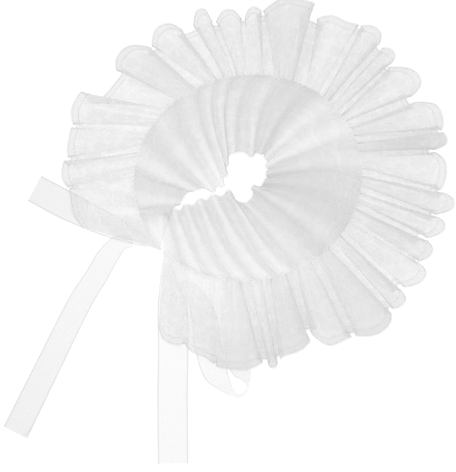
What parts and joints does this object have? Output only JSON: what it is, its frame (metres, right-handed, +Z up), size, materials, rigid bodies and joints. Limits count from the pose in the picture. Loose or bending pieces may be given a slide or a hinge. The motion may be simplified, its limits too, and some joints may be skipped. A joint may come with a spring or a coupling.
{
  "type": "detachable lace collar",
  "caption": "Gathered lace neck ruffle laid flat: a broad fluted ruffle outside, a standing frill leaning in over the neck opening, picot edgings and organza ribbon ties at both ends.",
  "frame": {"origin": "on the table, under the middle of the whole object as it lies, ties included", "axes": "+Z up from the table; the two hanging ties run towards -Y; the neckband opens towards -X and -Y"},
  "size_m": [0.3218, 0.3326, 0.0316],
  "materials": {
    "lace": "sheer white organza lace with a woven flower pattern",
    "edging": "narrow white picot lace edging",
    "band": "gathered white cloth, several layers",
    "organza": "sheer white organza ribbon with denser woven edges"
  },
  "bodies": {
    "root": {"outer_ruffle": "lace", "outer_edging": "edging", "inner_frill": "lace", "inner_edging": "edging", "neckband": "band", "tie_left_short": "organza", "tie_left_long": "organza", "tie_right_long": "organza", "tie_right_loop": "organza"}
  },
  "joints": []
}
